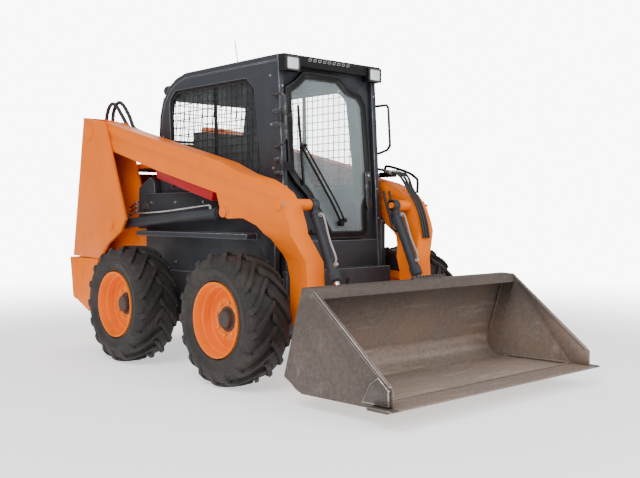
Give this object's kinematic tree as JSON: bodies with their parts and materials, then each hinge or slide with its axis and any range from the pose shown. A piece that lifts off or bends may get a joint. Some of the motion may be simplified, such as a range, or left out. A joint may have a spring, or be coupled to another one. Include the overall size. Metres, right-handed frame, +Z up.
{
  "type": "skid steer loader",
  "caption": "Compact wheeled loader with a closed cab, twin lift arms with hydraulic cylinders and a low-profile bucket.",
  "frame": {"origin": "on the ground under the middle of the whole machine", "axes": "+X forward towards the bucket, +Y to the left of the driver, +Z up"},
  "size_m": [3.875, 1.882, 2.2807],
  "materials": {
    "orange_paint": "semi-gloss paint",
    "slate_paint": "satin paint",
    "black_paint": "satin paint",
    "red_paint": "satin paint",
    "worn_steel": "worn and scratched",
    "chrome_rod": "polished",
    "tyre_rubber": "matte",
    "tinted_glass": "clear with a grey tint",
    "seat_vinyl": "grained",
    "hose_rubber": "matte"
  },
  "bodies": {
    "chassis": {"axle_front_right": "black_paint", "axle_rear_right": "black_paint", "side_panel_right": "slate_paint", "tower_right": "orange_paint", "cab_side_right": "slate_paint", "side_window_right": "tinted_glass", "side_screen_right": "black_paint", "grab_handle_right": "black_paint", "rear_lamp_right": "black_paint", "axle_front_left": "black_paint", "axle_rear_left": "black_paint", "side_panel_left": "slate_paint", "tower_left": "orange_paint", "cab_side_left": "slate_paint", "side_window_left": "tinted_glass", "side_screen_left": "black_paint", "grab_handle_left": "black_paint", "rear_lamp_left": "black_paint", "main_frame": "orange_paint", "rear_bumper": "orange_paint", "engine": "black_paint", "cab_roof": "slate_paint", "rear_window": "tinted_glass", "cab_front": "slate_paint", "cab_floor": "slate_paint", "seat": "seat_vinyl", "control_levers": "black_paint", "light_visor": "black_paint", "antenna": "black_paint"},
    "wheel_front_right": {"tyre_front_right": "tyre_rubber", "rim_front_right": "orange_paint"},
    "wheel_rear_right": {"tyre_rear_right": "tyre_rubber", "rim_rear_right": "orange_paint"},
    "wheel_front_left": {"tyre_front_left": "tyre_rubber", "rim_front_left": "orange_paint"},
    "wheel_rear_left": {"tyre_rear_left": "tyre_rubber", "rim_rear_left": "orange_paint"},
    "lift_arms": {"lift_arm_right": "orange_paint", "lift_arm_left": "orange_paint", "arm_cross_tube": "orange_paint", "arm_support": "red_paint", "aux_lines": "black_paint", "arm_hoses": "hose_rubber"},
    "lift_barrels": {"lift_barrel_right": "slate_paint", "lift_barrel_left": "slate_paint"},
    "lift_rods": {"lift_rod_right": "chrome_rod", "lift_rod_left": "chrome_rod"},
    "tilt_barrels": {"tilt_barrel_right": "slate_paint", "tilt_barrel_left": "slate_paint"},
    "tilt_rods": {"tilt_rod_right": "chrome_rod", "tilt_rod_left": "chrome_rod"},
    "bucket": {"coupler": "black_paint", "bucket_shell": "worn_steel", "cutting_edge": "worn_steel"},
    "front_door": {"door_frame": "black_paint", "door_glass": "tinted_glass"},
    "rear_door": {"rear_door": "slate_paint"},
    "engine_hood": {"engine_hood": "orange_paint"}
  },
  "joints": [
    {"name": "wheel_front_right_spin", "type": "hinge", "parent": "chassis", "child": "wheel_front_right", "pos_m": [0.4575, -0.775, 0.411], "axis": [0, 1, 0], "continuous": true},
    {"name": "wheel_rear_right_spin", "type": "hinge", "parent": "chassis", "child": "wheel_rear_right", "pos_m": [-0.7625, -0.775, 0.411], "axis": [0, 1, 0], "continuous": true},
    {"name": "wheel_front_left_spin", "type": "hinge", "parent": "chassis", "child": "wheel_front_left", "pos_m": [0.4575, 0.775, 0.411], "axis": [0, 1, 0], "continuous": true},
    {"name": "wheel_rear_left_spin", "type": "hinge", "parent": "chassis", "child": "wheel_rear_left", "pos_m": [-0.7625, 0.775, 0.411], "axis": [0, 1, 0], "continuous": true},
    {"name": "lift", "type": "hinge", "parent": "chassis", "child": "lift_arms", "pos_m": [-1.5915, 0, 1.685], "axis": [0, -1, 0], "range_deg": [-1.5, 57]},
    {"name": "lift_barrel_turn", "type": "hinge", "parent": "chassis", "child": "lift_barrels", "pos_m": [-1.2505, 0, 0.969], "axis": [0, -1, 0], "range_deg": [-1.6, 55]},
    {"name": "lift_rod_slide", "type": "slide", "parent": "lift_barrels", "child": "lift_rods", "axis": [0.9979, 0, 0.0653], "range_m": [-0.021, 0.76]},
    {"name": "bucket_tilt", "type": "hinge", "parent": "lift_arms", "child": "bucket", "pos_m": [0.9075, 0, 0.26], "axis": [0, 1, 0], "range_deg": [-28, 65]},
    {"name": "tilt_barrel_turn", "type": "hinge", "parent": "lift_arms", "child": "tilt_barrels", "pos_m": [0.7225, 0, 1.105], "axis": [0, -1, 0], "range_deg": [-3.5, 7.5]},
    {"name": "tilt_rod_slide", "type": "slide", "parent": "tilt_barrels", "child": "tilt_rods", "axis": [0.42, 0, -0.9075], "range_m": [-0.1, 0.23]},
    {"name": "front_door_swing", "type": "hinge", "parent": "chassis", "child": "front_door", "pos_m": [0.55295, -0.45, 0.885], "axis": [-0.0592, 0, 0.9982], "range_deg": [-82, 0]},
    {"name": "rear_door_swing", "type": "hinge", "parent": "chassis", "child": "rear_door", "pos_m": [-1.89516, 0.448, 0.72], "axis": [-0.1772, 0, -0.9842], "range_deg": [0, 100]},
    {"name": "engine_hood_tilt", "type": "hinge", "parent": "chassis", "child": "engine_hood", "pos_m": [-0.9625, 0, 1.435], "axis": [0, 1, 0], "range_deg": [0, 55]}
  ],
  "couplings": [
    {"joint": "wheel_rear_right_spin", "follows": "wheel_front_right_spin", "ratio": 1},
    {"joint": "wheel_rear_left_spin", "follows": "wheel_front_left_spin", "ratio": 1},
    {"joint": "lift_barrel_turn", "follows": "lift", "ratio": 0.95875},
    {"joint": "lift_rod_slide", "follows": "lift", "m_per_rad": 0.75728},
    {"joint": "tilt_barrel_turn", "follows": "bucket_tilt", "ratio": 0.11},
    {"joint": "tilt_rod_slide", "follows": "bucket_tilt", "m_per_rad": 0.2}
  ]
}
